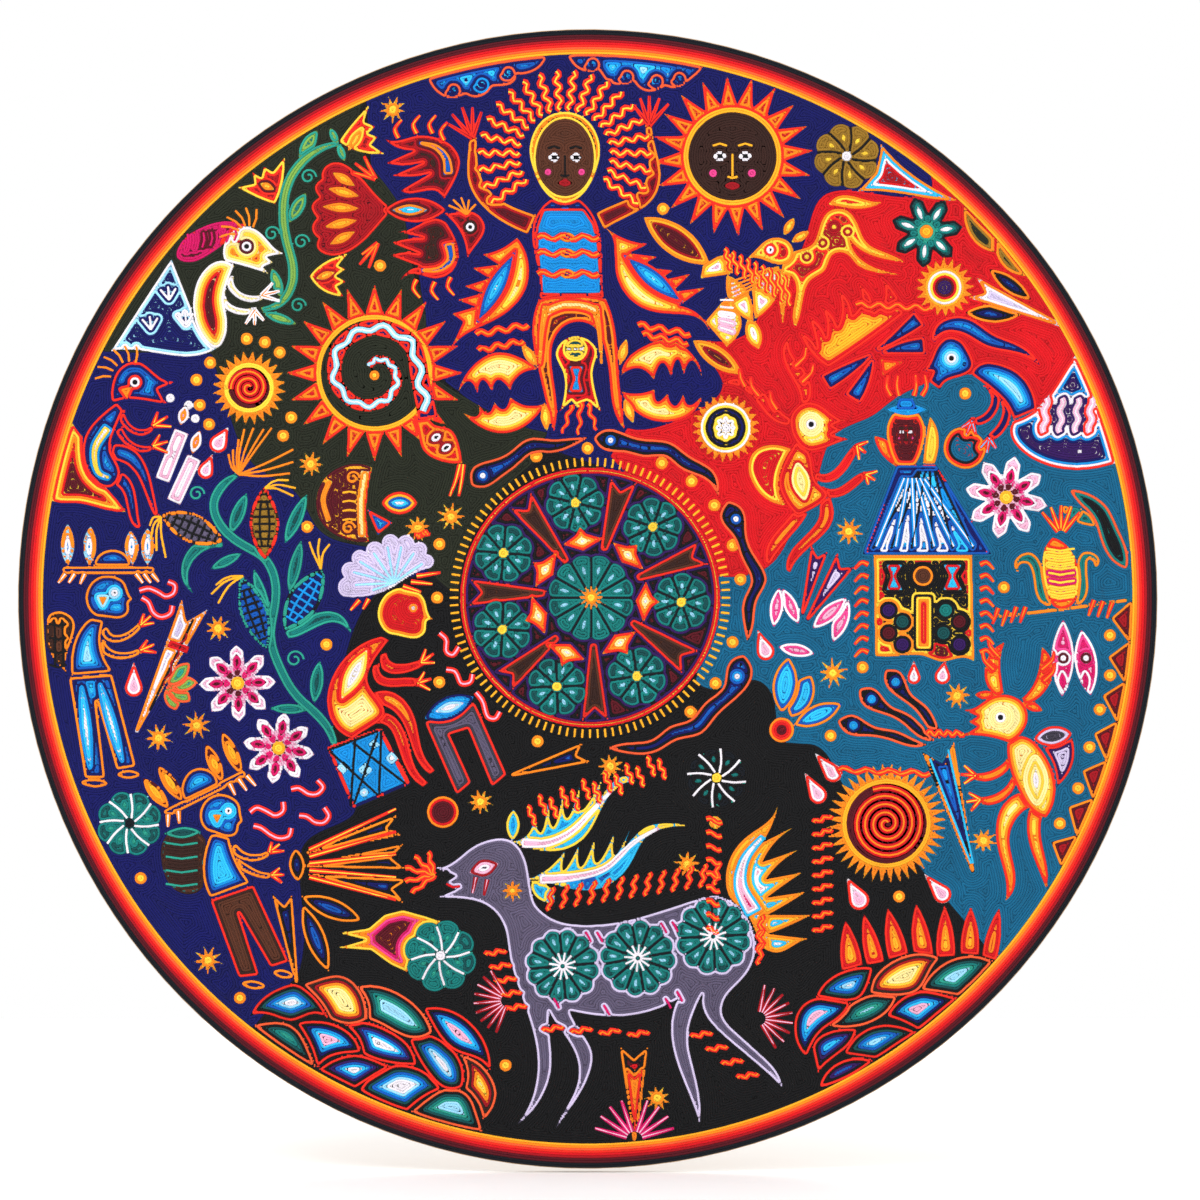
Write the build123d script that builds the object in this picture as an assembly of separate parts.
from build123d import *
import os
from math import acos, atan2, cos, degrees, hypot, pi, sin

# A round yarn painting: coloured yarn pressed into a skin of beeswax on a wooden board,
# with two D-ring hangers behind it.  Millimetres.  The picture faces -Y, +Z is up, and the
# origin is the centre of the board's back face.

BOARD_DIAMETER = 1000.0
BOARD_THICKNESS = 12.0
BOARD_EDGE_ROUND = 1.5
WAX_MARGIN = 0.8            # bare wood left round the wax
WAX_THICKNESS = 1.2
YARN_THICKNESS = 1.8        # height of a pressed strand over the wax

# Concentric rings of yarn at the rim, outside inwards.
RIM_RADII = (499.0, 494.5, 489.0, 484.0, 480.0, 477.5)
FIELD_RADIUS = RIM_RADII[-1]
RIM_OVERLAP = 5.0           # drawn this far past the field's edge, then cut back to it

# The round medallion in the middle of the picture.
MEDALLION_AT = (2.0, 1.0)
MEDALLION_RADIUS = 114.0
MEDALLION_RING_WIDTH = 5.0

# D-ring hangers: a strap screwed flat on the back, its folded end round the ring's bar.
HANGER_X = 280.0
HANGER_Z = 165.0
STRAP_LENGTH = 42.0
STRAP_WIDTH = 14.0
STRAP_THICKNESS = 1.2
KNUCKLE_RADIUS = 3.2
KNUCKLE_WIDTH = 11.0
NECK_LENGTH = 3.2           # web that joins the knuckle to the strap plate
RING_WIRE_RADIUS = 1.5
RING_BAR_CLEARANCE = 0.1
RING_HALF_HEIGHT = 9.0
RING_STRAIGHT = 10.0
RING_AXIS_Y = 4.2
SCREW_SPACING = 16.0
SCREW_FIRST = 16.0
SCREW_SHANK_RADIUS = 1.75
SCREW_LENGTH = 8.0
SCREW_HEAD_RADIUS = 3.6
SCREW_HEAD_HEIGHT = 1.8
SCREW_SLOT_WIDTH = 0.9
SCREW_SLOT_DEPTH = 0.6
SCREW_SLOT_LENGTH = 5.6

BUMPER_X = 220.0
BUMPER_Z = -300.0
BUMPER_RADIUS = 8.0
BUMPER_THICKNESS = 7.4

C = "corner"                # third item of an outline point where the line turns sharply
SLIVER_AREA = 2.0           # a face smaller than this is dropped after a cut
BOX_GAP = 0.05              # boxes closer than this are taken to touch


# ---------------------------------------------------------------- drawing in the picture plane

def on_circle(radius, angle):
    """Point on a circle round the board's centre, angle in degrees from +X."""
    turn = angle * pi / 180
    return (radius * cos(turn), radius * sin(turn))


def rim(start, end, steps=4):
    """Points just outside the field's edge, with a corner at each end."""
    turns = [start + (end - start) * i / steps for i in range(steps + 1)]
    points = [on_circle(FIELD_RADIUS + RIM_OVERLAP, turn) for turn in turns]
    return [(*points[0], C), *points[1:-1], (*points[-1], C)]


def outline(*points):
    """Face inside a closed line: smooth through plain points, sharp at corner points."""
    places = [point[:2] for point in points]
    corners = [i for i, point in enumerate(points) if len(point) == 3]
    if not corners:
        return make_face(Spline(*places, periodic=True))
    count = len(places)
    edges = []
    for first, last in zip(corners, corners[1:] + [corners[0] + count]):
        run = [places[i % count] for i in range(first, last + 1)]
        edges.append(Line(*run) if len(run) == 2 else Spline(*run))
    return make_face(edges)


def polygon(*points):
    return make_face(Polyline(*points, close=True))


def disc(x, z, radius):
    return Pos(x, z) * Circle(radius)


def scallops(*points):
    """Face whose edge is a row of arcs: every second point is the top of an arc."""
    count = len(points)
    return make_face([ThreePointArc(points[i], points[i + 1], points[(i + 2) % count])
                      for i in range(0, count, 2)])


def lens(start, end, half_width):
    """Leaf shape with a point at each end."""
    mid_x = (start[0] + end[0]) / 2
    mid_z = (start[1] + end[1]) / 2
    length = hypot(end[0] - start[0], end[1] - start[1])
    side_x = -(end[1] - start[1]) / length * half_width
    side_z = (end[0] - start[0]) / length * half_width
    return make_face([
        ThreePointArc(start, (mid_x + side_x, mid_z + side_z), end),
        ThreePointArc(end, (mid_x - side_x, mid_z - side_z), start),
    ])


def ribbon(points, half_widths):
    """Strip along a line of points; a half width of 0 makes a pointed end."""
    left = []
    right = []
    last = len(points) - 1
    for i, (x, z) in enumerate(points):
        before = points[max(i - 1, 0)]
        after = points[min(i + 1, last)]
        length = hypot(after[0] - before[0], after[1] - before[1])
        side_x = -(after[1] - before[1]) / length * half_widths[i]
        side_z = (after[0] - before[0]) / length * half_widths[i]
        corner = (C,) if i in (0, last) else ()
        left.append((x + side_x, z + side_z) + corner)
        right.append((x - side_x, z - side_z) + corner)
    right.reverse()
    if half_widths[-1] == 0:
        right = right[1:]
    if half_widths[0] == 0:
        right = right[:-1]
    return outline(*left, *right)


def rosette(x, z, radius, lobes, turn=0.0, notch=0.86):
    """Flower with round lobes; turn is the angle of the first lobe's tip."""
    arcs = []
    step = 360 / lobes
    for i in range(lobes):
        tip = turn + i * step
        start = on_circle(radius * notch, tip - step / 2)
        middle = on_circle(radius, tip)
        end = on_circle(radius * notch, tip + step / 2)
        arcs.append(ThreePointArc(*[(x + p[0], z + p[1]) for p in (start, middle, end)]))
    return make_face(arcs)


def rays(x, z, inner, outer, count, turn=0.0):
    """Star or sun outline: straight points from a round body."""
    points = []
    for i in range(2 * count):
        p = on_circle(outer if i % 2 == 0 else inner, turn + i * 180 / count)
        points.append((x + p[0], z + p[1]))
    return polygon(*points)


def pointed_flower(x, z, radius, petals, turn=0.0):
    """Flower with pointed petals that are widest two thirds of the way out."""
    points = []
    step = 360 / petals
    for i in range(petals):
        tip = turn + i * step
        for part, offset in ((0.50, -0.5), (0.84, -0.27), (1.0, 0.0), (0.84, 0.27)):
            p = on_circle(radius * part, tip + offset * step)
            points.append((x + p[0], z + p[1]))
    return polygon(*points)


def arrow(end, tip_a, tip_b, notch=0.14, half_width=1.5):
    """Votive arrow: narrow at its end, forked at the wide end."""
    mid_x = (tip_a[0] + tip_b[0]) / 2
    mid_z = (tip_a[1] + tip_b[1]) / 2
    length = hypot(tip_b[0] - tip_a[0], tip_b[1] - tip_a[1])
    side_x = (tip_b[0] - tip_a[0]) / length * half_width
    side_z = (tip_b[1] - tip_a[1]) / length * half_width
    fork = (mid_x + (end[0] - mid_x) * notch, mid_z + (end[1] - mid_z) * notch)
    return polygon(
        tip_a, fork, tip_b, (end[0] + side_x, end[1] + side_z), (end[0] - side_x, end[1] - side_z)
    )


def drop(tip, heart, radius):
    """Falling drop: two straight sides from the tip that touch a round end about its heart."""
    length = hypot(heart[0] - tip[0], heart[1] - tip[1])
    towards_tip = degrees(atan2(tip[1] - heart[1], tip[0] - heart[0]))
    spread = degrees(acos(radius / length))
    ends = []
    for turn in (towards_tip + spread, towards_tip + 180, towards_tip - spread):
        p = on_circle(radius, turn)
        ends.append((heart[0] + p[0], heart[1] + p[1]))
    return make_face([Line(tip, ends[0]), ThreePointArc(*ends), Line(ends[2], tip)])


def flame(foot_a, tip, foot_b, sway=3.0):
    """Tongue of fire between two feet, its sides waved."""
    left = ((foot_a[0] + tip[0]) / 2 - sway, (foot_a[1] + tip[1]) / 2)
    right = ((foot_b[0] + tip[0]) / 2 + sway, (foot_b[1] + tip[1]) / 2)
    return outline((*foot_a, C), left, (*tip, C), right, (*foot_b, C))


def profile_head(x, z, size, tilt=0.0):
    """A plain head in profile that looks to +X: round skull, small straight nose, round chin."""
    shape = outline((-0.45, -0.80, C), (-0.92, -0.30), (-0.90, 0.35), (-0.45, 0.85), (0.15, 0.92),
                    (0.68, 0.62), (0.86, 0.15), (1.12, -0.12, C), (0.84, -0.24), (0.86, -0.50),
                    (0.66, -0.80), (0.15, -0.86))
    return Pos(x, z) * (Rot(0, 0, tilt) * scale(shape, by=size))


def egg(x, z, half_width, top, bottom):
    """Egg-shaped head, its narrow end down."""
    return outline((x, z + top), (x - 0.75 * half_width, z + 0.72 * top), (x - half_width, z + 0.15 * top),
                   (x - 0.88 * half_width, z - 0.3 * bottom), (x - 0.45 * half_width, z - 0.85 * bottom),
                   (x, z - bottom), (x + 0.45 * half_width, z - 0.85 * bottom),
                   (x + 0.88 * half_width, z - 0.3 * bottom), (x + half_width, z + 0.15 * top),
                   (x + 0.75 * half_width, z + 0.72 * top))


# ---------------------------------------------------------------- the motifs, one function each

def clouds():
    return [
        outline(*rim(94.2, 107.0), (-135, 447), (-124, 439.5), (-114, 439.5), (-107, 442.5, C),
                (-97, 439.5), (-90, 442), (-84, 449, C), (-75, 449.5), (-66, 452), (-62, 460, C),
                (-52, 460.5), (-43, 465)),
        outline(*rim(77.6, 92.4), (-14, 470), (-5, 463), (3, 462), (10, 463.5, C), (14, 457),
                (20, 452), (30, 450.5), (41, 453.5, C), (46, 447), (54, 444.5), (62, 446),
                (68, 449.5, C), (80, 448.5), (90, 455), (98, 462)),
    ]


def deity_head():
    return [egg(-20, 387, 31, 40, 40)]


def deity_body():
    shirt = outline((-33, 350, C), (-42, 341), (-48, 328), (-48, 310), (-43, 262, C), (-15, 266),
                    (15, 263, C), (12, 310), (8, 330), (2, 341), (-7, 350, C), (-20, 352))
    legs = outline((-43, 262, C), (-48, 245), (-48, 225), (-43, 200), (-36, 170), (-30, 146, C),
                   (-27, 165), (-31, 200), (-31, 222), (-22, 238), (-8, 243), (6, 238), (14, 222),
                   (19, 195), (23, 165), (32, 149, C), (30, 170), (27, 200), (25, 230), (16, 263, C),
                   (-15, 266))
    sash = outline((-12, 230), (-25, 223), (-28, 214), (-22, 200), (-20, 185), (-25, 164, C),
                   (-14, 174, C), (-7, 165, C), (-1, 174, C), (12, 164, C), (6, 185), (5, 203),
                   (8, 218), (1, 227))
    arm_left = ribbon([(-49, 328), (-70, 337), (-88, 350), (-99, 368), (-101, 390), (-101, 412)],
                      (9, 8, 7, 6, 4, 3))
    arm_right = ribbon([(11, 331), (35, 343), (52, 355), (58, 370), (57, 390), (54, 423)],
                       (8, 7, 7, 6, 4, 3))
    return [shirt, legs, sash, arm_left, arm_right]


def deity_wings():
    return [
        outline((-62, 317, C), (-53, 300), (-54, 272), (-66, 255), (-86, 242), (-105, 233),
                (-121, 217, C), (-109, 243, C), (-119, 250, C), (-98, 256, C), (-114, 262, C),
                (-92, 268, C), (-108, 274, C), (-86, 281, C), (-101, 290, C), (-78, 293, C),
                (-92, 302, C), (-74, 308)),
        outline((15, 326, C), (22, 316), (24, 290), (31, 270), (46, 256), (70, 250), (95, 247),
                (108, 231, C), (98, 249), (80, 257, C), (103, 273, C), (74, 269, C), (90, 285, C),
                (60, 278, C), (75, 288, C), (44, 291, C), (61, 300, C), (36, 303, C), (53, 311, C),
                (32, 316)),
        outline((-43, 201, C), (-60, 212), (-80, 216), (-98, 207), (-113, 182, C), (-104, 191),
                (-97, 180, C), (-92, 192), (-84, 181, C), (-79, 192), (-68, 183, C), (-60, 196)),
        outline((-38, 171, C), (-50, 155), (-75, 145), (-95, 151), (-109, 163, C), (-96, 161),
                (-96, 171, C), (-87, 163), (-82, 173, C), (-74, 166), (-68, 177, C), (-56, 170)),
        outline((29, 196, C), (36, 212), (50, 222), (68, 227), (86, 220), (100, 195, C), (91, 209),
                (84, 196, C), (79, 210), (73, 194, C), (66, 207), (58, 192, C), (46, 202)),
        outline((29, 182, C), (38, 168), (52, 158), (70, 155), (88, 160), (100, 178, C), (88, 170),
                (84, 180, C), (76, 169), (70, 180, C), (61, 173), (59, 184, C), (44, 180)),
    ]


def sun_face():
    return [rays(127, 388, 46, 71, 20, 4)]


def red_eagle():
    tail = outline((-170, 342, C), (-192, 362), (-208, 378), (-222, 383), (-231, 378), (-233, 368, C),
                   (-239, 362), (-235, 352, C), (-242, 345), (-237, 334, C), (-242, 325),
                   (-236, 316, C), (-237, 307), (-226, 301), (-210, 304), (-190, 320))
    upper_wing = outline((-126, 350, C), (-115, 370), (-112, 385), (-120, 398), (-135, 405),
                         (-150, 406), (-165, 402), (-179, 404, C), (-168, 396), (-152, 393, C),
                         (-177, 382, C), (-160, 380), (-143, 383, C), (-171, 371, C), (-155, 370),
                         (-138, 373, C), (-164, 358, C), (-150, 356), (-134, 358))
    lower_wing = outline((-124, 330, C), (-117, 318), (-113, 302), (-118, 288), (-135, 281),
                         (-152, 285), (-165, 278, C), (-158, 287), (-146, 291, C), (-173, 301, C),
                         (-158, 304), (-146, 302, C), (-172, 312, C), (-155, 316), (-142, 316, C),
                         (-167, 322, C), (-150, 327), (-137, 333))
    body = lens((-178, 341), (-124, 341), 11)
    head = outline((-126, 338, C), (-113, 339), (-100, 339), (-90, 327), (-97, 311), (-106, 298, C),
                   (-108, 313), (-115, 327))
    return [body, head, tail, upper_wing, lower_wing]


def flowering_vine():
    stem = ribbon([(-219, 399), (-245, 388), (-261, 368), (-267, 340), (-263, 310), (-258, 285),
                   (-265, 264), (-286, 254)], (2, 4, 4.5, 4.5, 4.5, 4.5, 4, 2))
    leaves = [lens(a, b, w) for a, b, w in (
        ((-253, 386), (-237, 411), 6), ((-262, 330), (-247, 356), 6), ((-277, 290), (-268, 264), 5),
        ((-285, 251), (-255, 241), 4.5), ((-219, 398), (-226, 413), 3.5), ((-219, 399), (-213, 384), 3.5))]
    tulips = [
        outline((-218, 401, C), (-207, 416), (-192, 432, C), (-196, 418, C), (-186, 414, C),
                (-193, 408, C), (-184, 405, C), (-190, 398, C), (-178, 390, C), (-200, 392)),
        outline((-274, 346, C), (-290, 352), (-307, 361, C), (-292, 364, C), (-294, 374, C),
                (-286, 369, C), (-284, 379, C), (-276, 374, C), (-266, 387, C), (-268, 362)),
        outline((-244, 283, C), (-231, 295), (-211, 302, C), (-219, 292, C), (-212, 289, C),
                (-221, 283, C), (-212, 278, C), (-220, 274, C), (-214, 265, C), (-232, 270)),
    ]
    return [stem, *tulips, *leaves]


def crested_bird_dancer():
    head = outline((-318, 296, C), (-319, 310), (-310, 323), (-298, 326), (-287, 321), (-275, 308),
                   (-266, 303, C), (-282, 300, C), (-276, 295, C), (-285, 291, C), (-280, 285, C),
                   (-295, 290))
    body = outline((-310, 292, C), (-325, 296), (-340, 283), (-346, 260), (-341, 235), (-325, 220),
                   (-316, 238), (-319, 262), (-315, 280))
    arm_up = ribbon([(-314, 282), (-308, 268), (-296, 263), (-285, 265)], (4, 3, 3, 2))
    arm_down = ribbon([(-321, 272), (-316, 257), (-305, 252), (-290, 254)], (4, 3, 3, 2))
    plume = outline((-300, 327, C), (-320, 331), (-340, 325), (-358, 310), (-360, 299), (-350, 295),
                    (-335, 300), (-318, 312))
    tail = outline((-365, 298, C), (-418, 217, C), (-375, 215), (-335, 215), (-325, 220, C),
                   (-341, 235), (-347, 253, C))
    return [head, body, arm_up, arm_down, plume, tail]


def blue_bird_dancer():
    head = outline((-417, 172, C), (-416, 192), (-407, 205), (-395, 208), (-380, 198), (-362, 190, C),
                   (-377, 184, C), (-370, 171, C), (-382, 173), (-395, 175))
    body = outline((-413, 172, C), (-428, 160), (-441, 142), (-442, 120), (-434, 104), (-418, 98),
                   (-410, 110), (-418, 130), (-414, 150), (-407, 165, C))
    leg_front = ribbon([(-418, 128), (-398, 122), (-388, 105), (-378, 73)], (8, 7, 5, 2))
    leg_back = ribbon([(-420, 106), (-405, 100), (-400, 85), (-393, 62)], (7, 6, 5, 2))
    arm_up = ribbon([(-409, 165), (-404, 152), (-394, 146), (-380, 152)], (4, 3, 3, 2))
    arm_down = ribbon([(-411, 149), (-404, 138), (-394, 132), (-379, 134)], (4, 3, 3, 2))
    tail = outline(*rim(160.8, 169.4), (-460, 84), (-448, 84), (-430, 80), (-405, 76, C), (-420, 95),
                   (-440, 120), (-443, 142, C))
    return [head, body, leg_front, leg_back, arm_up, arm_down, tail]


def corn_plant():
    stem = ribbon([(-308, 108), (-322, 97), (-328, 82), (-320, 62), (-300, 46), (-284, 36),
                   (-274, 15), (-275, -10), (-278, -32), (-270, -60), (-255, -85), (-240, -99),
                   (-222, -128)], (2, 4, 4, 4, 4, 4, 4, 4, 4, 4, 4, 4, 3))
    cobs = [
        lens((-374, 74), (-320, 50), 13), lens((-284, 98), (-283, 34), 13),
        lens((-304, 20), (-281, -45), 12), lens((-232, 26), (-266, -28), 14),
    ]
    leaves = [lens(a, b, w) for a, b, w in (
        ((-314, 56), (-299, 93), 6), ((-266, 48), (-246, 92), 6), ((-331, 26), (-303, 40), 4.5),
        ((-293, 27), (-278, -24), 5), ((-262, 4), (-251, 52), 5.5), ((-240, -92), (-235, -54), 6),
        ((-279, -96), (-244, -97), 4.5))]
    long_leaves = [
        ribbon([(-320, 48), (-342, 44), (-352, 30), (-345, 4)], (3, 5, 4, 0)),
        ribbon([(-264, -32), (-245, -22), (-225, -16), (-207, -31)], (3, 6, 5, 0)),
    ]
    return [*cobs, stem, *long_leaves, *leaves]


def pilgrim(head_at, head_size, tilt, crown, brim, basket, body, trousers, shoes, arms, feathers):
    """Standing pilgrim with a hat and a carrying basket."""
    return [profile_head(*head_at, head_size, tilt), outline(*crown), ribbon(brim, (3.5, 3.5)),
            outline(*basket), outline(*body), polygon(*trousers), *[lens(a, b, 4) for a, b in shoes],
            *[ribbon(line, (4, 3.5, 3, 2.5)) for line in arms], *[lens(a, b, 6) for a, b in feathers]]


def pilgrim_upper():
    return pilgrim(
        head_at=(-420, 1), head_size=21, tilt=0,
        crown=((-433, 29, C), (-427, 40), (-413, 43), (-405, 39), (-401, 29, C)),
        brim=[(-461, 25), (-380, 25)],
        basket=((-475, -24), (-472, -14), (-462, -11), (-451, -18), (-454, -40), (-456, -66, C),
                (-470, -50), (-475, -38)),
        body=((-436, -17, C), (-449, -34), (-453, -52), (-453, -67, C), (-416, -64, C), (-426, -45),
              (-424, -19, C)),
        trousers=((-455, -69), (-417, -66), (-396, -147), (-413, -150), (-431, -88),
                  (-423, -157), (-441, -157)),
        shoes=(((-446, -161), (-419, -162)), ((-414, -154), (-391, -154))),
        arms=([(-424, -26), (-416, -35), (-405, -33), (-392, -22)],
              [(-427, -38), (-418, -48), (-406, -50), (-392, -45)]),
        feathers=(((-456, 29), (-456, 66)), ((-437, 29), (-436, 64)), ((-399, 30), (-401, 60)),
                  ((-386, 30), (-386, 62))),
    )


def pilgrim_lower():
    return pilgrim(
        head_at=(-321, -190), head_size=20, tilt=-12,
        crown=((-353, -177, C), (-355, -160), (-345, -149), (-332, -150), (-324, -163, C)),
        brim=[(-371, -189), (-300, -153)],
        basket=((-356, -202), (-371, -210), (-373, -235), (-362, -255), (-350, -259), (-339, -255),
                (-338, -232), (-335, -212)),
        body=((-331, -207, C), (-337, -228), (-337, -245), (-331, -262, C), (-296, -249, C),
              (-307, -232), (-315, -205, C)),
        trousers=((-331, -264), (-293, -251), (-262, -318), (-278, -323), (-306, -275),
                  (-288, -330), (-306, -332)),
        shoes=(((-305, -337), (-281, -340)), ((-277, -327), (-257, -331))),
        arms=([(-311, -217), (-300, -226), (-290, -227), (-278, -221)],
              [(-312, -230), (-300, -236), (-290, -241), (-276, -242)]),
        feathers=(((-390, -157), (-367, -184)), ((-377, -146), (-355, -178)), ((-335, -127), (-320, -161)),
                  ((-321, -116), (-303, -155))),
    )


def singer():
    head = profile_head(-161, -13, 24, -6)
    body = outline((-181, -33, C), (-202, -42), (-218, -58), (-228, -82), (-226, -104), (-206, -123, C),
                   (-190, -112), (-178, -100), (-185, -86), (-193, -72), (-188, -55), (-174, -36, C))
    thigh = ribbon([(-188, -88), (-170, -90), (-158, -104), (-150, -130), (-136, -152)], (6, 7, 6, 4, 3))
    shin = ribbon([(-190, -106), (-172, -108), (-163, -124), (-156, -146), (-142, -163)], (5, 5, 5, 4, 3))
    arm_up = ribbon([(-179, -48), (-174, -60), (-160, -61), (-145, -56)], (3, 5, 4, 3))
    arm_down = ribbon([(-186, -58), (-180, -72), (-162, -73), (-148, -74)], (3, 4, 4, 3))
    return [head, body, thigh, shin, arm_up, arm_down]


def stool_and_drum():
    stool = polygon((-229, -130), (-181, -113), (-155, -162), (-206, -184))
    drum_skin = lens((-143, -105), (-100, -86), 10)
    drum_body = polygon((-143, -108), (-99, -91), (-71, -154), (-84, -165), (-105, -114),
                        (-121, -119), (-102, -161), (-115, -172))
    return [stool, drum_skin, drum_body]


def gourd_bowl():
    bowl = outline((-189, 115, C), (-213, 117), (-231, 105), (-238, 85), (-234, 68), (-219, 55),
                   (-192, 50, C), (-194, 85))
    diamond = lens((-181, 84), (-149, 84), 10)
    fin = polygon((-194, 79), (-171, 67), (-184, 56))
    return [bowl, diamond, fin]


def shell_fan():
    return [scallops((-168, 12), (-190, 3), (-214, 2), (-219, 12), (-213, 19), (-216, 26), (-206, 32),
                     (-205, 41), (-194, 40), (-189, 50), (-180, 47), (-174, 57), (-166, 52),
                     (-158, 56), (-152, 48), (-144, 49), (-142, 39), (-135, 35), (-138, 27),
                     (-150, 23))]


def snake_sun():
    snake_head = outline((-156, 162, C), (-149, 148), (-144, 130), (-130, 121), (-110, 119, C),
                         (-113, 136), (-121, 149), (-135, 153), (-138, 163, C), (-147, 166))
    return [snake_head, rays(-187, 198, 52, 78, 20, 0)]


def small_suns():
    return [rays(x, z, inner, outer, count, count) for x, z, inner, outer, count in (
        (-297, 185, 24, 33, 24), (262, -197, 40, 53, 40), (121, 150, 23, 30, 24), (313, 273, 18, 26, 20))]


def flowers():
    return [
        pointed_flower(-307, -74, 34, 8, 92), pointed_flower(-271, -131, 32, 8, 80),
        pointed_flower(367, 89, 37, 8, 78), pointed_flower(297, 322, 32, 7, 110),
    ]


def peyote_discs():
    return [
        rosette(-402, -197, 29, 8, 65), rosette(-129, -313, 32, 8, 75),
        rosette(227, 388, 29, 8, 105), rosette(113, -157, 28, 8, 60),
    ]


def votive_arrows():
    white = arrow((-396, -117), (-356, 0), (-333, -9))
    bead_fan = [lens((-368, -76), tip, 7) for tip in ((-349, -56), (-342, -73), (-348, -90), (-361, -98))]
    quiver = lens((-256, -219), (-254, -248), 7)
    fan = [
        arrow((-247, -223), (-166, -189), (-163, -207)), arrow((-246, -234), (-161, -215), (-160, -237)),
        arrow((-247, -243), (-157, -246), (-160, -267)), arrow((-255, -338), (-277, -258), (-259, -259)),
    ]
    spears = [lens((-251, -261), (-198, -282), 9), lens((-250, -268), (-227, -327), 9)]
    others = [
        arrow((338, -240), (293, -134), (321, -125)), arrow((415, 240), (341, 282), (334, 264)),
        arrow((41, -476), (28, -392), (53, -392)), arrow((188, -14), (196, 47), (211, 42)),
        arrow((192, -19), (219, 41), (234, 28)), arrow((-68, -155), (-4, -126), (3, -143)),
    ]
    lilac_feathers = [lens((352, 289), (389, 262), 7), lens((331, 251), (380, 249), 8)]
    return [white, *bead_fan, quiver, *fan, *spears, *others, *lilac_feathers]


def snakes():
    lines = (
        ([(-102, 99), (-92, 108), (-80, 114), (-66, 122), (-50, 134), (-32, 134), (-15, 137), (1, 142)],
         (0, 11, 9, 7, 7, 6, 4, 0)),
        ([(5, 141), (20, 139), (34, 136), (52, 132), (70, 131), (85, 120), (103, 111), (114, 89)],
         (0, 10, 8, 8, 7, 7, 6, 0)),
        ([(123, 86), (128, 70), (134, 55), (140, 38), (150, 15), (143, 0), (141, -20), (140, -38)],
         (0, 11, 6, 6, 7, 6, 5, 0)),
        ([(137, -49), (133, -65), (125, -82), (108, -97), (95, -112), (75, -118), (60, -128),
          (35, -131), (17, -131)], (0, 12, 8, 8, 8, 7, 6, 5, 0)),
        ([(261, -62), (270, -73), (280, -86), (292, -96), (301, -109), (309, -123)], (0, 9, 5, 5, 5, 0)),
        ([(238, -79), (249, -88), (262, -97), (277, -104), (291, -116), (304, -125)], (0, 9, 5, 5, 5, 0)),
        ([(219, -107), (233, -111), (249, -116), (268, -120), (284, -126), (298, -128)], (0, 9, 5, 5, 4, 0)),
    )
    return [ribbon(*line) for line in lines]


def hummingbird():
    return [
        lens((122, 284), (144, 243), 9), lens((141, 246), (150, 219), 7),
        polygon((99, 281), (101, 292), (113, 300), (127, 303), (127, 285)),
        outline((103, 243, C), (121, 264, C), (135, 240), (122, 221, C)),
        outline((143, 286, C), (168, 292, C), (164, 262), (146, 245, C)),
    ]


def great_deer():
    return [outline(
        (-134, -236, C), (-118, -231), (-103, -219), (-85, -211), (-67, -212), (-56, -225),
        (-51, -247), (-46, -268, C), (-25, -283), (0, -286), (30, -283), (60, -275), (88, -266),
        (108, -261), (124, -264), (138, -278), (146, -296), (146, -315), (134, -335), (120, -351),
        (118, -364), (130, -380), (150, -398), (166, -415), (171, -429, C), (158, -416), (138, -399),
        (116, -380), (104, -366), (101, -345, C), (92, -365), (88, -383), (92, -408), (98, -435),
        (98, -461, C), (88, -432), (77, -403), (73, -380), (79, -351, C), (60, -360), (30, -366),
        (5, -365), (-16, -361, C), (-7, -378), (4, -398), (1, -418), (-14, -445), (-29, -466, C),
        (-18, -445), (-8, -420), (-11, -398), (-22, -380), (-34, -361, C), (-33, -385), (-32, -412),
        (-42, -440), (-62, -461, C), (-47, -432), (-44, -402), (-50, -372), (-61, -340), (-69, -310),
        (-74, -285), (-88, -269), (-108, -263), (-132, -262, C), (-115, -255, C), (-125, -249, C),
        (-115, -243, C))]


def deer_rosettes():
    return [rosette(-22, -322, 32, 12, 80), rosette(44, -315, 33, 12, 85), rosette(110, -296, 33, 12, 78)]


def deer_plumes():
    antler_back = outline(
        (-66, -213, C), (-54, -208), (-48, -186, C), (-42, -205), (-35, -180, C), (-31, -200),
        (-22, -172, C), (-19, -192), (-7, -164, C), (-7, -185), (12, -159, C), (8, -180),
        (20, -163), (42, -160, C), (25, -166), (12, -184), (1, -205), (-15, -218), (-38, -221))
    antler_front = outline(
        (-52, -246, C), (-38, -239), (-20, -221, C), (-22, -238), (-8, -217, C), (-7, -235),
        (6, -211, C), (7, -231), (23, -206, C), (23, -224), (39, -198, C), (33, -217), (48, -202),
        (65, -197), (87, -199, C), (68, -201), (51, -209), (42, -224), (31, -241), (10, -254),
        (-20, -253), (-38, -248))
    ears = [lens((-65, -185), (-66, -212), 6), lens((-50, -248), (-29, -266), 7)]
    tail = outline(
        (167, -179, C), (157, -196), (140, -208), (127, -223), (121, -243), (125, -262),
        (138, -275), (147, -292), (153, -305), (168, -310), (182, -303), (194, -298, C),
        (158, -294, C), (176, -287), (196, -277, C), (158, -277, C), (174, -268), (191, -257, C),
        (157, -262, C), (172, -251), (188, -240, C), (156, -246, C), (168, -232), (185, -220, C),
        (153, -231, C), (163, -215), (181, -200, C), (153, -214, C), (161, -200))
    return [antler_back, antler_front, *ears, tail]


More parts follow.
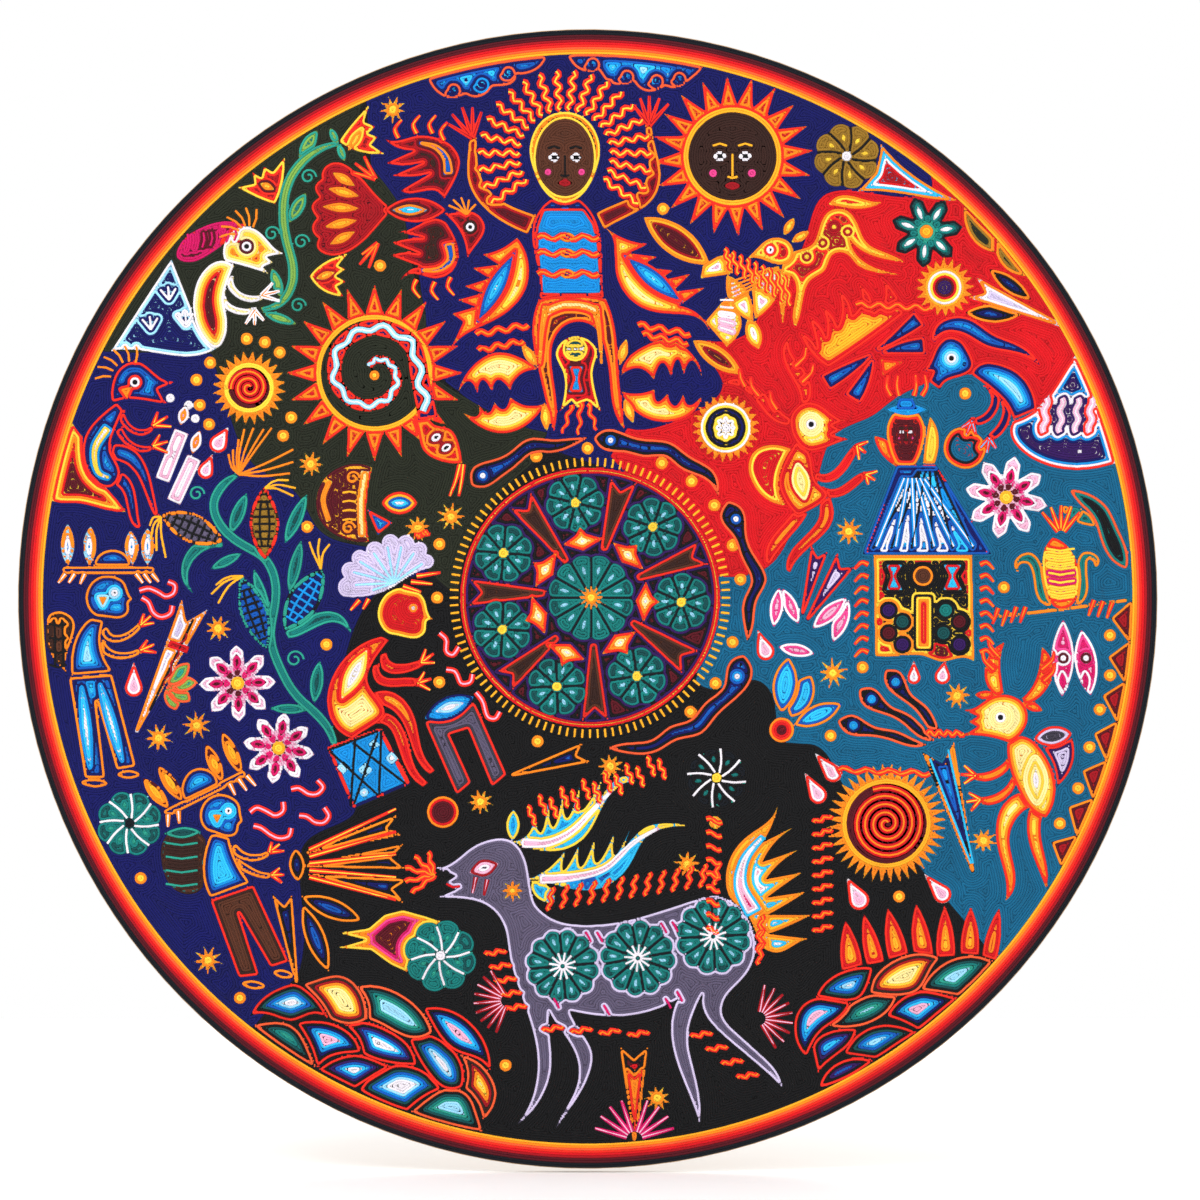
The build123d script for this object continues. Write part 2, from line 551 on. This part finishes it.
def left_hill():
    return [
        outline((-296, -366, C), (-285, -350), (-270, -341), (-256, -338), (-243, -346), (-234, -356),
                (-228, -368, C), (-245, -365), (-259, -370), (-275, -366)),
        outline((-250, -338, C), (-232, -332), (-214, -331), (-202, -340), (-195, -354), (-194, -369, C),
                (-210, -373), (-226, -368, C), (-234, -354)),
        outline((-202, -340, C), (-185, -339), (-165, -346), (-148, -359), (-136, -380, C),
                (-160, -384), (-176, -376), (-192, -369, C), (-194, -352)),
        outline((-144, -359, C), (-125, -359), (-108, -367), (-95, -380), (-87, -396), (-85, -415, C),
                (-98, -403), (-115, -397), (-128, -386), (-137, -372)),
        outline((-293, -374, C), (-275, -371), (-260, -374), (-248, -388), (-239, -411, C), (-266, -394)),
        outline((-255, -372, C), (-235, -370), (-215, -376), (-203, -387), (-199, -398, C),
                (-216, -399), (-228, -403), (-237, -412, C), (-244, -390)),
        outline((-214, -373, C), (-195, -371), (-175, -378), (-160, -388), (-150, -409, C),
                (-168, -408), (-186, -404), (-197, -399, C), (-201, -386)),
        outline((-156, -387, C), (-140, -382), (-124, -390), (-113, -402), (-110, -428, C),
                (-128, -428), (-140, -416), (-148, -404)),
        outline((-236, -413, C), (-220, -403), (-200, -400), (-187, -404), (-173, -410, C),
                (-190, -420), (-204, -429, C)),
        outline((-200, -431, C), (-189, -418), (-170, -409), (-150, -411), (-136, -420),
                (-129, -430, C), (-145, -438), (-158, -449, C), (-180, -441)),
        outline((-112, -400, C), (-98, -405), (-86, -417), (-80, -432), (-84, -448), (-92, -457, C),
                (-97, -441), (-108, -429, C), (-106, -414)),
        outline((-155, -450, C), (-139, -437), (-121, -429), (-106, -434), (-98, -448), (-92, -467, C),
                (-125, -460)),
    ]


def right_hill():
    return [
        outline((200, -349, C), (212, -333), (228, -325), (250, -323, C), (246, -338), (238, -350),
                (219, -352)),
        outline((248, -346, C), (252, -331), (265, -319), (287, -311), (309, -315, C), (299, -329),
                (290, -343), (270, -348)),
        outline((292, -343, C), (305, -325), (322, -315), (340, -313), (355, -318, C), (341, -333),
                (325, -348, C), (308, -345)),
        outline((181, -375), (186, -359), (200, -350), (215, -351), (230, -354, C), (216, -371),
                (206, -378), (197, -390), (192, -402, C), (184, -391)),
        outline((212, -375, C), (225, -360), (245, -348), (271, -349, C), (263, -362), (250, -371),
                (230, -376)),
        outline((262, -366, C), (272, -353), (290, -344), (309, -346), (324, -350, C), (290, -378, C),
                (277, -371)),
        outline((197, -393, C), (201, -386), (213, -379), (236, -377, C), (225, -395), (212, -405),
                (202, -416, C)),
        outline((225, -399, C), (235, -384), (250, -375), (270, -374), (288, -380, C), (253, -403, C)),
        outline((203, -429, C), (211, -413), (226, -404), (250, -405, C), (231, -418)),
    ]


def hill_flames():
    feet_and_tips = (
        ((223, -326), (226, -282), (241, -321)), ((245, -321), (242, -276), (260, -318)),
        ((264, -316), (263, -271), (281, -311)), ((286, -310), (288, -267), (303, -312)),
        ((306, -314), (313, -269), (322, -313)), ((327, -311), (336, -270), (343, -312)),
        ((346, -313), (361, -271), (358, -317)),
    )
    return [flame(*points) for points in feet_and_tips]


def house():
    roof = polygon((271, 117), (306, 117), (354, 39), (241, 39))
    walls = outline((251, 38, C), (337, 38, C), (339, -55, C), (325, -52), (310, -55), (295, -50),
                    (275, -50), (252, -50, C))
    return [roof, walls]


def yellow_stars():
    places = (
        (-324, -26, 13), (-376, -122, 14), (-343, -111, 14), (-333, -317, 14), (-243, 118, 12),
        (-171, 429, 13), (-120, 72, 14), (-149, 62, 12), (-94, -178, 12), (87, -233, 13),
        (61, -438, 12), (229, 59, 14), (215, -65, 15), (324, -85, 13), (347, -212, 12), (20, -147, 12),
    )
    return [rays(x, z, 5, r, 9, x) for x, z, r in places]


def round_dots():
    yellow = (
        (-246, 63), (-182, 292), (-130, 48), (-132, 1), (-229, -40), (-130, -73), (-44, -125),
        (-392, -245), (-305, -350), (-72, -409), (-45, 125), (0, 132), (65, 119), (91, 103),
        (111, 82), (127, 47), (134, 17), (127, -38), (112, -74), (90, -99), (66, 342), (112, -196),
        (365, 10), (241, -60), (213, -120), (458, -32), (458, -67), (449, -97), (440, -130),
        (430, -166), (414, -197), (331, 180), (273, -261),
    )
    pale_blue = (
        (-299, 228), (-283, 225), (-270, 216), (-331, 207), (-343, 192), (-340, 170), (-332, 153),
        (-260, 159), (-267, 143),
    )
    return [disc(x, z, 5.5) for x, z in yellow + pale_blue]


def rain_drops():
    places = (
        ((-315, 151), (-324, 136), 8), ((-329, 127), (-335, 112), 7), ((-398, -55), (-398, -78), 8),
        ((149, -27), (156, -46), 8), ((199, -135), (215, -153), 8), ((190, -152), (202, -172), 8),
        ((227, -244), (238, -264), 9), ((295, -241), (311, -259), 8), ((286, -54), (286, -69), 6),
        ((313, -54), (311, -68), 7),
    )
    return [drop(*place) for place in places]


def rim_zigzag():
    teeth = 7
    step = 4.26
    first = -0.3
    points = []
    for i in range(teeth):
        points.append((*on_circle(FIELD_RADIUS - 2, first - i * step), C))
        points.append((*on_circle(459, first - (i + 0.43) * step), C))
    return [outline(*points, *rim(first - teeth * step, first, 8))]


def fire_and_sticks():
    fire = outline((211, 203, C), (245, 226), (278, 251, C), (270, 267), (258, 281, C), (260, 262),
                   (251, 251, C), (249, 262), (237, 277, C), (240, 260), (232, 248, C), (229, 260),
                   (219, 271, C), (223, 255), (219, 238, C), (212, 251), (204, 257, C), (210, 242),
                   (209, 229, C), (202, 241), (194, 247, C), (199, 231), (201, 219, C), (195, 228),
                   (186, 233, C), (196, 216))
    sticks = [
        ribbon([(253, 218), (272, 231), (291, 246)], (2, 5, 8)),
        ribbon([(258, 216), (276, 220), (296, 222)], (2, 6, 8)),
        ribbon([(249, 214), (230, 202), (208, 189)], (2, 6, 8)),
        ribbon([(250, 210), (243, 193), (232, 175)], (2, 6, 8)),
    ]
    return [fire, *sticks, polygon((257, 210), (277, 208), (259, 195))]


def blue_crested_bird():
    head = outline((317, 230), (305, 220), (300, 208), (293, 200, C), (303, 199, C), (299, 191, C),
                   (309, 183, C), (317, 192), (330, 196), (338, 203), (334, 218), (327, 227))
    crest = ribbon([(303, 226), (313, 239), (332, 239), (352, 227), (374, 220), (397, 204)],
                   (2, 6, 8, 7, 5, 0))
    body = outline((336, 197, C), (345, 207), (363, 206), (380, 197), (391, 181), (394, 166, C),
                   (373, 157, C), (366, 172), (355, 183), (346, 190))
    tail = outline((373, 156, C), (395, 168), (412, 190), (428, 214, C), (444, 185), (463, 119, C),
                   (430, 113), (400, 118), (380, 130), (371, 143))
    arm_up = ribbon([(350, 188), (357, 170), (348, 158), (335, 156)], (4, 4, 4, 3))
    arm_down = ribbon([(364, 176), (367, 160), (360, 147), (351, 140)], (4, 4, 4, 3))
    return [head, crest, body, tail, arm_up, arm_down]


def red_deer_dancer():
    head = outline((178, 153, C), (181, 165), (192, 172), (205, 169), (215, 161), (227, 157, C),
                   (214, 152, C), (223, 148, C), (213, 144, C), (229, 140, C), (215, 135), (204, 131),
                   (193, 130), (183, 138))
    body = outline((183, 138, C), (173, 120), (168, 100), (173, 86), (184, 73, C), (197, 79),
                   (210, 92), (200, 103), (197, 117), (193, 130, C))
    legs = [
        ribbon([(188, 78), (178, 64), (166, 50), (158, 31)], (6, 6, 6, 2)),
        ribbon([(207, 88), (207, 66), (188, 46), (176, 24)], (6, 6, 5, 2)),
    ]
    arms = [
        ribbon([(199, 108), (214, 107), (227, 120), (237, 135)], (3, 4, 4, 2)),
        ribbon([(205, 95), (222, 94), (235, 103), (245, 110)], (4, 4, 4, 2)),
    ]
    antlers = [
        ribbon([(178, 155), (165, 161), (152, 176), (137, 188), (117, 188)], (3, 5, 5, 4, 0)),
        ribbon([(190, 171), (190, 186), (182, 201), (175, 214), (178, 231)], (3, 6, 6, 4, 0)),
    ]
    return [head, body, *legs, *arms, *antlers]


def deer_dancer():
    head = outline((364, -84), (378, -88), (386, -103), (381, -117), (369, -126, C), (352, -121),
                   (329, -120, C), (342, -112, C), (334, -108, C), (342, -103, C), (329, -97, C),
                   (345, -92), (354, -86))
    body = outline((368, -127, C), (384, -121), (398, -133), (408, -152), (410, -172), (402, -192, C),
                   (388, -184), (377, -166), (370, -148))
    legs = [
        ribbon([(384, -176), (368, -190), (364, -208), (369, -235), (371, -250), (366, -265)],
               (8, 8, 6, 5, 4, 0)),
        ribbon([(397, -180), (391, -200), (396, -226), (402, -254)], (7, 6, 5, 0)),
    ]
    arms = [
        ribbon([(370, -142), (362, -151), (350, -156), (337, -155)], (3, 4, 4, 2)),
        ribbon([(374, -158), (364, -172), (352, -177), (342, -176)], (3, 4, 4, 2)),
    ]
    antlers = [
        ribbon([(362, -84), (356, -72), (356, -55), (366, -38)], (3, 7, 6, 0)),
        ribbon([(382, -90), (396, -78), (402, -60), (398, -42)], (3, 6, 6, 0)),
    ]
    ears = [lens((339, -84), (360, -85), 4), lens((381, -91), (399, -98), 4)]
    quiver_mouth = lens((391, -123), (425, -118), 9)
    quiver = outline((399, -130, C), (412, -128), (425, -122, C), (426, -142), (411, -165, C),
                     (408, -145))
    return [head, body, *legs, *arms, *antlers, *ears, quiver_mouth, quiver]


def corn_deity():
    cob = outline((408, 54, C), (400, 42), (399, 25), (403, 5), (411, -8), (424, -6), (430, 8),
                  (430, 25), (424, 42))
    curls = [
        ribbon([(406, -6), (397, 8), (394, 26), (386, 36), (377, 32), (377, 24)], (2, 5, 5, 5, 3, 1)),
        ribbon([(429, -5), (434, 10), (433, 26), (438, 38), (446, 34), (444, 27)], (2, 5, 5, 4, 3, 1)),
    ]
    perch = ribbon([(357, -16), (400, -11), (440, -6), (474, -1)], (1.6, 1.6, 1.6, 1.6))
    pendants = [lens((417, -18), (416, -86), 10), lens((433, -27), (441, -85), 10)]
    pepper = ribbon([(422, 96), (435, 88), (449, 76), (457, 58), (464, 42), (473, 26)],
                    (0, 6, 8, 9, 9, 0))
    pepper_leaf = lens((413, 81), (450, 64), 6)
    return [cob, *curls, perch, *pendants, pepper, pepper_leaf]


def leaping_deer():
    head = outline((138, 297, C), (149, 308), (160, 316), (171, 316), (180, 307), (178, 297),
                   (168, 293), (152, 298))
    body = outline((171, 293, C), (182, 305), (196, 310), (204, 328), (212, 340), (226, 341),
                   (237, 328), (244, 313), (260, 304), (278, 295, C), (256, 299), (241, 305),
                   (230, 315, C), (237, 300), (250, 291), (275, 284, C), (250, 287), (236, 293),
                   (226, 303), (215, 302), (208, 288), (196, 280), (190, 268), (187, 252),
                   (182, 238, C), (181, 258), (183, 272), (178, 284, C), (174, 262), (171, 240, C),
                   (168, 262), (168, 280))
    ears = [lens((172, 319), (181, 334), 4), lens((179, 313), (194, 322), 4)]
    streamer = outline((211, 346, C), (224, 354), (240, 351), (258, 348, C), (240, 342), (225, 343))
    return [head, body, *ears, streamer]


def small_offerings():
    candles = [ribbon([(-356, 147), (-373, 104)], (6.5, 6.5)), ribbon([(-345, 124), (-363, 85)], (6.5, 6.5))]
    jar = outline((324, 150), (314, 141), (313, 126), (321, 117), (334, 114), (346, 122), (349, 134),
                  (340, 146))
    priest_head = egg(279, 143, 17, 24, 30)
    priest_wings = [
        lens((251, 143), (281, 113), 7),
        outline((300, 160, C), (307, 147), (307, 128), (304, 118, C), (294, 118, C), (296, 138)),
    ]
    wands = [lens((168, 10), (163, -25), 6), lens((171, 9), (185, -22), 6), lens((227, 1), (197, -26), 7),
             lens((229, -1), (215, -38), 7), lens((167, -42), (199, -48), 6)]
    leaves = [lens((49, 335), (107, 293), 13), lens((92, 227), (135, 197), 9)]
    cone = outline((257, 399, C), (275, 380), (300, 362), (324, 349, C), (300, 351), (270, 356),
                   (236, 357, C), (250, 372))
    rim_patches = [
        outline((330, 343, C), (331, 328), (340, 312), (356, 304, C), (356, 316, C)),
        outline((358, 316, C), (358, 303, C), (366, 290), (384, 283, C)),
    ]
    leaf_eared_head = [disc(170, -115, 11), lens((176, -51), (170, -100), 11),
                       lens((196, -67), (178, -104), 11),
                       lens((223, -92), (181, -111), 9)]
    basket = outline((178, 131, C), (162, 135), (147, 130), (141, 118), (145, 101), (156, 88),
                     (173, 82, C), (167, 100), (171, 118))
    flame_bird = polygon((-218, -293), (-192, -289), (-178, -277), (-162, -273), (-144, -278),
                         (-126, -284), (-150, -300), (-152, -330), (-172, -321), (-190, -308),
                         (-219, -306), (-194, -299))
    pendant = disc(-127, -187, 14)
    return [*candles, jar, priest_head, *priest_wings, *wands, *leaves, cone, *rim_patches,
            *leaf_eared_head, basket, flame_bird, pendant]


def medallion_rosettes():
    centre_x, centre_z = MEDALLION_AT
    around = ((-74, 40), (-75, -27), (-27, -77), (43, -68), (82, -3), (57, 63), (-11, 84))
    ring = [rosette(x, z, 26, 8, degrees(atan2(z - centre_z, x - centre_x)), 0.88) for x, z in around]
    return [rosette(centre_x + 1, centre_z, 38, 12, 15, 0.92), *ring]


def medallion_quivers():
    ends = (
        ((14, 42), (20, 106), (43, 102)), ((43, 18), (106, 30), (97, 50)), ((38, -20), (98, -46), (83, -66)),
        ((5, -39), (-5, -107), (18, -107)), ((-26, -33), (-80, -64), (-67, -81)),
        ((-37, 5), (-103, 17), (-105, -6)), ((-18, 32), (-68, 79), (-50, 94)),
    )
    return [arrow(*points, notch=0.16, half_width=3) for points in ends]


# Every motif by node name.  Where two meet, the earlier one lies over the later one's edge.
MOTIFS = {
    "deity_head": deity_head, "deity_body": deity_body, "deity_wings": deity_wings,
    "red_eagle": red_eagle, "leaping_deer": leaping_deer, "hummingbird": hummingbird,
    "gourd_bowl": gourd_bowl, "shell_fan": shell_fan, "singer": singer,
    "stool_and_drum": stool_and_drum, "crested_bird_dancer": crested_bird_dancer,
    "blue_bird_dancer": blue_bird_dancer, "pilgrim_upper": pilgrim_upper,
    "pilgrim_lower": pilgrim_lower, "corn_plant": corn_plant, "flowering_vine": flowering_vine,
    "snakes": snakes, "deer_rosettes": deer_rosettes, "great_deer": great_deer,
    "deer_plumes": deer_plumes, "red_deer_dancer": red_deer_dancer, "deer_dancer": deer_dancer,
    "blue_crested_bird": blue_crested_bird, "corn_deity": corn_deity, "house": house,
    "fire_and_sticks": fire_and_sticks, "votive_arrows": votive_arrows,
    "peyote_discs": peyote_discs, "flowers": flowers, "small_offerings": small_offerings,
    "clouds": clouds, "left_hill": left_hill, "right_hill": right_hill, "hill_flames": hill_flames,
    "rim_zigzag": rim_zigzag, "rain_drops": rain_drops, "round_dots": round_dots,
    "yellow_stars": yellow_stars, "small_suns": small_suns,
    "snake_sun": snake_sun, "sun_face": sun_face,
}


def field_olive():
    return [outline(*rim(113.8, 153.3, 8), (-330, 215, C), (-312, 155), (-290, 115), (-255, 92),
                   (-235, 60), (-190, 45), (-145, 28, C), (-114, 2, C), (-98, 60), (-50, 117, C),
                   (-35, 146, C), (-60, 152), (-113, 180), (-138, 200), (-142, 250), (-152, 285),
                   (-165, 345), (-190, 380))]


def field_red():
    return [outline(*rim(12, 52, 10), (300, 357), (260, 354), (205, 352), (175, 290), (155, 279),
                   (150, 250), (122, 226), (96, 225), (118, 190), (96, 165), (35, 150, C), (20, 125, C),
                   (114, 20, C), (136, 20), (158, 28), (180, 60), (200, 100), (218, 145), (252, 162),
                   (262, 170), (300, 190), (345, 195), (392, 166), (428, 150))]


def field_teal():
    return [outline(*rim(-41.5, 27, 12), (345, 212, C), (262, 190, C), (200, 150, C),
                   (100, 60, C), (95, -72, C), (120, -78), (150, -72), (162, -85), (172, -125),
                   (198, -128), (225, -165), (262, -200), (295, -240), (320, -270))]


def field_navy():
    upper = outline(*rim(50, 113.8, 12), (-190, 380, C), (-150, 300, C), (-137, 200, C),
                    (-60, 140, C), (30, 110, C), (120, 160, C), (330, 300, C))
    lower = outline(*rim(153.3, 232.0, 16), (-255, -330, C), (-252, -252), (-246, -212), (-205, -188),
                    (-218, -140), (-215, -60), (-190, 0), (-135, 20, C), (-145, 60, C), (-300, 225, C))
    return [upper, lower]


FIELDS = {
    "field_olive": field_olive, "field_red": field_red, "field_teal": field_teal, "field_navy": field_navy,
}


# ---------------------------------------------------------------- from faces to pieces

def faces_of(shape):
    """Faces worth keeping: slivers left by a cut are dropped."""
    return [face for face in shape.faces() if face.area > SLIVER_AREA]


def boxes_meet(a, b):
    return (a.min.X < b.max.X + BOX_GAP and b.min.X < a.max.X + BOX_GAP
            and a.min.Y < b.max.Y + BOX_GAP and b.min.Y < a.max.Y + BOX_GAP)


def cut_by(shape, others):
    """Shape less every other face that it may touch."""
    box = shape.bounding_box()
    near = [other for other in others if boxes_meet(box, other.bounding_box())]
    return faces_of(shape - near) if near else faces_of(shape)


def stand(shape):
    """Turn a flat drawing upright: its Y becomes +Z and it faces -Y."""
    return Rot(90, 0, 0) * shape


def plates(faces, level, thickness):
    """Solids of one thickness, standing level in front of the board's back."""
    return [stand(Pos(0, 0, level) * extrude(face, amount=thickness, dir=(0, 0, 1))) for face in faces]


def write(name, solids):
    shape = solids[0] if len(solids) == 1 else Compound(children=list(solids))
    export_step(shape, f"parts/{name}.step")


# ---------------------------------------------------------------- the board and what hangs it

def hanger_places():
    """Hinge line of each hanger and the side that its strap lies on."""
    return (("left", -HANGER_X, -1), ("right", HANGER_X, 1))


def screw_places(x, side):
    return [x + side * (SCREW_FIRST + i * SCREW_SPACING) for i in range(2)]


def along_y(x, z, start, length, radius):
    """Cylinder along Y from a height behind the board's back."""
    return Pos(x, start + length / 2, z) * (Rot(90, 0, 0) * Cylinder(radius, length))


def backing_board():
    board = stand(extrude(Circle(BOARD_DIAMETER / 2), amount=BOARD_THICKNESS))
    board = fillet(board.edges().filter_by(GeomType.CIRCLE), BOARD_EDGE_ROUND)
    for _, x, side in hanger_places():
        for screw_x in screw_places(x, side):
            board -= along_y(screw_x, HANGER_Z, -SCREW_LENGTH, SCREW_LENGTH, SCREW_SHANK_RADIUS)
    return board


def strap(x, side):
    """Strap plate, its inner end folded into a knuckle round the ring's bar."""
    outer = x + side * STRAP_LENGTH
    plate_at = Pos((x + outer) / 2, STRAP_THICKNESS / 2, HANGER_Z)
    plate = plate_at * Box(STRAP_LENGTH, STRAP_THICKNESS, STRAP_WIDTH)
    neck_at = Pos(x + side * NECK_LENGTH / 2, RING_AXIS_Y / 2, HANGER_Z)
    neck = neck_at * Box(NECK_LENGTH, RING_AXIS_Y, KNUCKLE_WIDTH)
    knuckle = Pos(x, RING_AXIS_Y, HANGER_Z) * Cylinder(KNUCKLE_RADIUS, KNUCKLE_WIDTH)
    bore = Pos(x, RING_AXIS_Y, HANGER_Z) * Cylinder(RING_WIRE_RADIUS + RING_BAR_CLEARANCE, 2 * KNUCKLE_WIDTH)
    body = plate + neck + knuckle - bore
    behind_board = Pos(x, STRAP_LENGTH / 2, HANGER_Z) * Box(4 * STRAP_LENGTH, STRAP_LENGTH, STRAP_LENGTH)
    body = body & behind_board
    for screw_x in screw_places(x, side):
        body -= along_y(screw_x, HANGER_Z, 0, STRAP_THICKNESS, SCREW_SHANK_RADIUS)
    return body


def ring(x, side):
    """D-shaped wire ring: bar through the knuckle, bow towards the middle of the board."""
    inward = -side
    bow_x = x + inward * RING_STRAIGHT
    at = Pos(0, RING_AXIS_Y, HANGER_Z)
    wire = Cylinder(RING_WIRE_RADIUS, 2 * RING_HALF_HEIGHT)
    shape = Pos(x, 0, 0) * wire
    for end in (-RING_HALF_HEIGHT, RING_HALF_HEIGHT):
        shape += Pos(x, 0, end) * Sphere(RING_WIRE_RADIUS)
        arm = Rot(0, 90, 0) * Cylinder(RING_WIRE_RADIUS, RING_STRAIGHT)
        shape += Pos((x + bow_x) / 2, 0, end) * arm
    path = ThreePointArc((bow_x, 0, RING_HALF_HEIGHT), (bow_x + inward * RING_HALF_HEIGHT, 0, 0),
                         (bow_x, 0, -RING_HALF_HEIGHT))
    section = Plane(origin=path @ 0, z_dir=path % 0) * Circle(RING_WIRE_RADIUS)
    shape += sweep(section, path)
    return at * shape


def screws():
    pieces = []
    for _, x, side in hanger_places():
        for screw_x in screw_places(x, side):
            shank_length = SCREW_LENGTH + STRAP_THICKNESS
            shank = along_y(screw_x, HANGER_Z, -SCREW_LENGTH, shank_length, SCREW_SHANK_RADIUS)
            head = along_y(screw_x, HANGER_Z, STRAP_THICKNESS, SCREW_HEAD_HEIGHT, SCREW_HEAD_RADIUS)
            head_top = Pos(screw_x, STRAP_THICKNESS + SCREW_HEAD_HEIGHT, HANGER_Z)
            slot = head_top * Box(SCREW_SLOT_WIDTH, 2 * SCREW_SLOT_DEPTH, SCREW_SLOT_LENGTH)
            pieces.append(shank + head - slot)
    return pieces


def bumpers():
    return [along_y(x, BUMPER_Z, 0, BUMPER_THICKNESS, BUMPER_RADIUS) for x in (-BUMPER_X, BUMPER_X)]


# ---------------------------------------------------------------- build and write

os.makedirs("parts", exist_ok=True)

wax_level = BOARD_THICKNESS
yarn_level = wax_level + WAX_THICKNESS

write("backing_board", [backing_board()])
write("wax_bed", plates([disc(0, 0, BOARD_DIAMETER / 2 - WAX_MARGIN)], wax_level, WAX_THICKNESS))
for name, x, side in hanger_places():
    write(f"strap_{name}", [strap(x, side)])
    write(f"ring_{name}", [ring(x, side)])
write("hanger_screws", screws())
write("wall_bumpers", bumpers())

rim_rings = [disc(0, 0, outer) - disc(0, 0, inner) for outer, inner in zip(RIM_RADII, RIM_RADII[1:])]
write("rim_rings", plates(rim_rings, yarn_level, YARN_THICKNESS))

medallion = disc(*MEDALLION_AT, MEDALLION_RADIUS)
medallion_floor = disc(*MEDALLION_AT, MEDALLION_RADIUS - MEDALLION_RING_WIDTH)
medallion_ring = medallion - medallion_floor
medallion_motifs = {"medallion_rosettes": [], "medallion_quivers": []}
for flower in medallion_rosettes():
    medallion_motifs["medallion_rosettes"] += cut_by(flower, [medallion_ring])
for quiver in medallion_quivers():
    medallion_motifs["medallion_quivers"] += cut_by(quiver, medallion_motifs["medallion_rosettes"])
medallion_ground = cut_by(medallion_floor, sum(medallion_motifs.values(), []))
write("medallion_ring", plates([medallion_ring], yarn_level, YARN_THICKNESS))
write("medallion_ground", plates(medallion_ground, yarn_level, YARN_THICKNESS))
for name, faces in medallion_motifs.items():
    write(name, plates(faces, yarn_level, YARN_THICKNESS))

field_disc = disc(0, 0, FIELD_RADIUS)
laid = [medallion]
for name, draw in {**MOTIFS, **FIELDS}.items():
    kept = []
    for face in draw():
        for part in cut_by(face & field_disc, laid):
            kept.append(part)
            laid.append(part)
    write(name, plates(kept, yarn_level, YARN_THICKNESS))
    print(name, len(kept))
write("field_black", plates(cut_by(field_disc, laid), yarn_level, YARN_THICKNESS))
